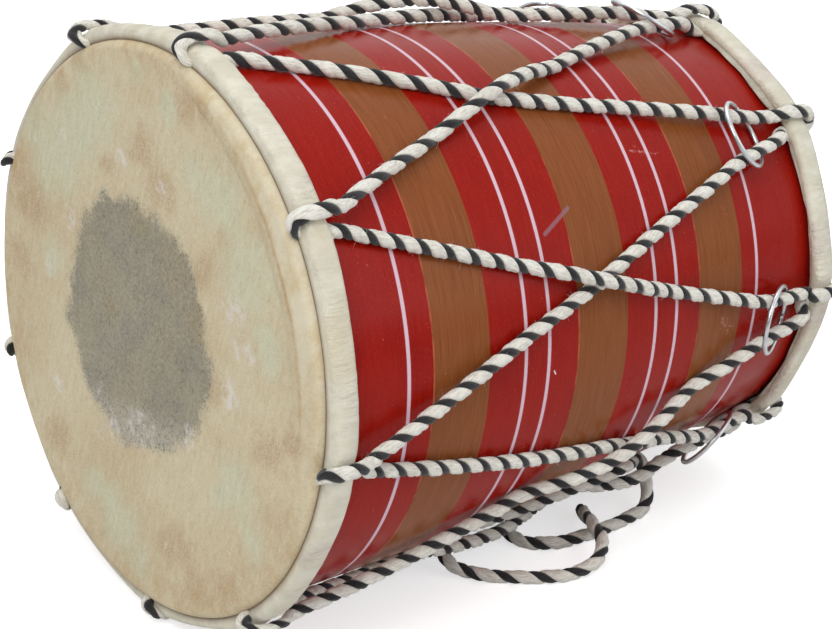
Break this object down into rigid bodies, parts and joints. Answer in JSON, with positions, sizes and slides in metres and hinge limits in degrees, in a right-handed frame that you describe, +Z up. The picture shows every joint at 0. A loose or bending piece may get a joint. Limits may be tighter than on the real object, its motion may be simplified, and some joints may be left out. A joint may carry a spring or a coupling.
{
  "type": "dholak",
  "caption": "Small two-headed barrel hand drum with one zigzag rope lacing and sliding tuning rings, lying on its side with the rope tails loose on the floor.",
  "frame": {"origin": "middle of the underside of the box round the drum, without its loose rope tails", "axes": "+X towards the smaller head, +Y away from the side that shows in the picture, +Z up"},
  "size_m": [0.3376, 0.2742, 0.2762],
  "materials": {
    "painted_wood": "glossy lacquer, deep red with brown bands",
    "raw_hide": "dry mottled goat hide",
    "cane": "bare split cane",
    "dark_paste": "dry dark tuning paste",
    "cotton_rope": "laid cotton, white strands and one black",
    "ring_steel": "bright plated wire"
  },
  "bodies": {
    "drum": {"shell": "painted_wood", "bass_head": "raw_hide", "treble_head": "raw_hide", "bass_hoop": "cane", "treble_hoop": "cane", "tuning_paste": "dark_paste", "lacing_rope": "cotton_rope", "rope_tail_a": "cotton_rope", "rope_tail_b": "cotton_rope"},
    "tuning_ring_1": {"ring_1": "ring_steel"},
    "tuning_ring_2": {"ring_2": "ring_steel"},
    "tuning_ring_3": {"ring_3": "ring_steel"},
    "tuning_ring_4": {"ring_4": "ring_steel"},
    "tuning_ring_5": {"ring_5": "ring_steel"},
    "tuning_ring_6": {"ring_6": "ring_steel"},
    "tuning_ring_7": {"ring_7": "ring_steel"},
    "tuning_ring_8": {"ring_8": "ring_steel"},
    "tuning_ring_9": {"ring_9": "ring_steel"}
  },
  "joints": [
    {"name": "ring_1_slide", "type": "slide", "parent": "drum", "child": "tuning_ring_1", "axis": [0.9788, -0.0855, -0.1863], "range_m": [-0.002, 0.008]},
    {"name": "ring_2_slide", "type": "slide", "parent": "drum", "child": "tuning_ring_2", "axis": [0.9766, 0.0001, -0.2151], "range_m": [-0.002, 0.008]},
    {"name": "ring_3_slide", "type": "slide", "parent": "drum", "child": "tuning_ring_3", "axis": [0.9796, 0.0959, -0.1765], "range_m": [-0.002, 0.008]},
    {"name": "ring_4_slide", "type": "slide", "parent": "drum", "child": "tuning_ring_4", "axis": [0.9872, 0.1401, -0.0767], "range_m": [-0.002, 0.008]},
    {"name": "ring_5_slide", "type": "slide", "parent": "drum", "child": "tuning_ring_5", "axis": [0.9946, 0.1018, 0.0178], "range_m": [-0.002, 0.008]},
    {"name": "ring_6_slide", "type": "slide", "parent": "drum", "child": "tuning_ring_6", "axis": [0.998, 0.0226, 0.0595], "range_m": [-0.002, 0.008]},
    {"name": "ring_7_slide", "type": "slide", "parent": "drum", "child": "tuning_ring_7", "axis": [0.9971, -0.0578, 0.0495], "range_m": [-0.002, 0.008]},
    {"name": "ring_8_slide", "type": "slide", "parent": "drum", "child": "tuning_ring_8", "axis": [0.993, -0.1179, -0.0044], "range_m": [-0.002, 0.008]},
    {"name": "ring_9_slide", "type": "slide", "parent": "drum", "child": "tuning_ring_9", "axis": [0.9855, -0.1376, -0.0994], "range_m": [-0.002, 0.008]}
  ]
}
